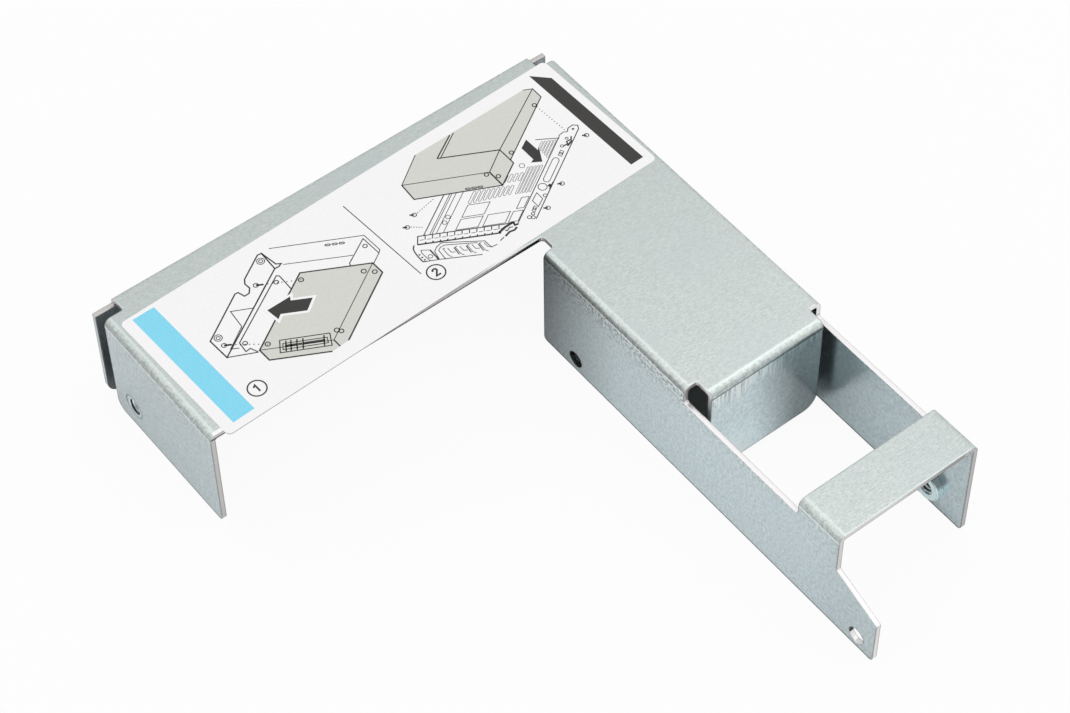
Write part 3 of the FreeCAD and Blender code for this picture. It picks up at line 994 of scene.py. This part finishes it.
def floor():
    """A plain pale floor that shows as white in the open and keeps the object's deep shadows, with painted shade
    under the side arm.
    """
    tree = Tree("floor_look")
    tone = tree.noise(0.01, 2.0)
    pale = tree.ramp(tone, (0.3, (0.80, 0.80, 0.80)), (0.7, (0.82, 0.82, 0.82)))
    tree.shader.inputs["Roughness"].default_value = 0.9
    path = tree.add("ShaderNodeLightPath")
    white = tree.add("ShaderNodeEmission")
    blend = tree.add("ShaderNodeMixShader")
    open_air = tree.span(tree.openness(80 * MM, 12), 0.12, 0.42, 0.0, 0.4)
    surface = tree.add("ShaderNodeNewGeometry")
    spot = tree.parts(surface.outputs["Position"])
    past_sides = tree.over(tree.apart(spot["X"], ARM_SHADE_MIDDLE.x), ARM_SHADE_HALF.x)
    past_ends = tree.over(tree.apart(spot["Y"], ARM_SHADE_MIDDLE.y), ARM_SHADE_HALF.y)
    outside = tree.either(past_sides, past_ends, surface.outputs["Backfacing"])
    # Painted shade: the floor is darker under the side arm, and shows no white there
    tree.shade("Base Color", tree.tone(pale, tree.choose(outside, 0.6, 1.0)))
    seen = tree.both(path.outputs["Is Camera Ray"], outside, 0.93)
    bounced = tree.total(path.outputs["Is Glossy Ray"], path.outputs["Is Transmission Ray"])
    shown = tree.total(seen, tree.both(bounced, open_air))
    tree.join(shown, blend.inputs[0])
    tree.join(tree.shader.outputs[0], blend.inputs[1])
    tree.join(white.outputs[0], blend.inputs[2])
    tree.join(blend.outputs[0], tree.nodes["Material Output"].inputs[0])
    mesh = bpy.data.meshes.new("floor")
    shape = bmesh.new()
    bmesh.ops.create_grid(shape, x_segments=4, y_segments=4, size=3.0)
    shape.to_mesh(mesh)
    shape.free()
    ground = bpy.data.objects.new("floor", mesh)
    bpy.context.scene.collection.objects.link(ground)
    ground.location.z = low.z - 0.02 * MM
    mesh.materials.append(tree.material)


def world():
    """Even studio air: white where it is seen or mirrored, softer where it lights."""
    sky = bpy.data.worlds.new("studio")
    bpy.context.scene.world = sky
    sky.use_nodes = True
    nodes = sky.node_tree.nodes
    links = sky.node_tree.links
    path = nodes.new("ShaderNodeLightPath")
    background = nodes["Background"]
    mirrored = nodes.new("ShaderNodeMapRange")
    mirrored.inputs["To Min"].default_value = 0.78
    mirrored.inputs["To Max"].default_value = 0.85
    links.new(path.outputs["Is Glossy Ray"], mirrored.inputs["Value"])
    seen = nodes.new("ShaderNodeMath")
    seen.operation = "MAXIMUM"
    links.new(path.outputs["Is Camera Ray"], seen.inputs[0])
    links.new(mirrored.outputs[0], seen.inputs[1])
    links.new(seen.outputs[0], background.inputs["Strength"])
    background.inputs["Color"].default_value = (1.0, 1.0, 1.0, 1.0)


def lamp(name, place, size, power):
    """A soft square lamp that points at the object."""
    light = bpy.data.lights.new(name, "AREA")
    light.shape = "SQUARE"
    light.size = size
    light.energy = power
    holder = bpy.data.objects.new(name, light)
    holder.location = place
    holder.rotation_euler = (-Vector(place)).to_track_quat("-Z", "Y").to_euler()
    bpy.context.scene.collection.objects.link(holder)


def camera():
    data = bpy.data.cameras.new("camera")
    data.sensor_width = 36.0
    data.lens = CAMERA_LENS
    data.clip_start = 0.01
    data.clip_end = 20.0
    holder = bpy.data.objects.new("camera", data)
    aim = (CAMERA_AIM - CAMERA_PLACE).to_track_quat("-Z", "Y").to_matrix()
    turn = aim @ Matrix.Rotation(CAMERA_ROLL, 3, "Z")
    holder.matrix_world = Matrix.Translation(CAMERA_PLACE) @ turn.to_4x4()
    bpy.context.scene.collection.objects.link(holder)
    bpy.context.scene.camera = holder


bracket = frame["nodes"]["bracket"].data
bracket.materials.clear()
bracket.materials.append(zinc_sheet())
nut_look = zinc_nut()
for node, outward in NUTS.items():
    clinch_nut(node, outward, nut_look)
label_paper()
label_print()

floor()
world()
lamp("overhead", (0.25, -0.25, 0.85), 1.1, 2.0)
lamp("left", (-0.42, 0.5, 0.75), 1.1, 1.2)
camera()
bpy.context.scene.view_settings.view_transform = "Standard"
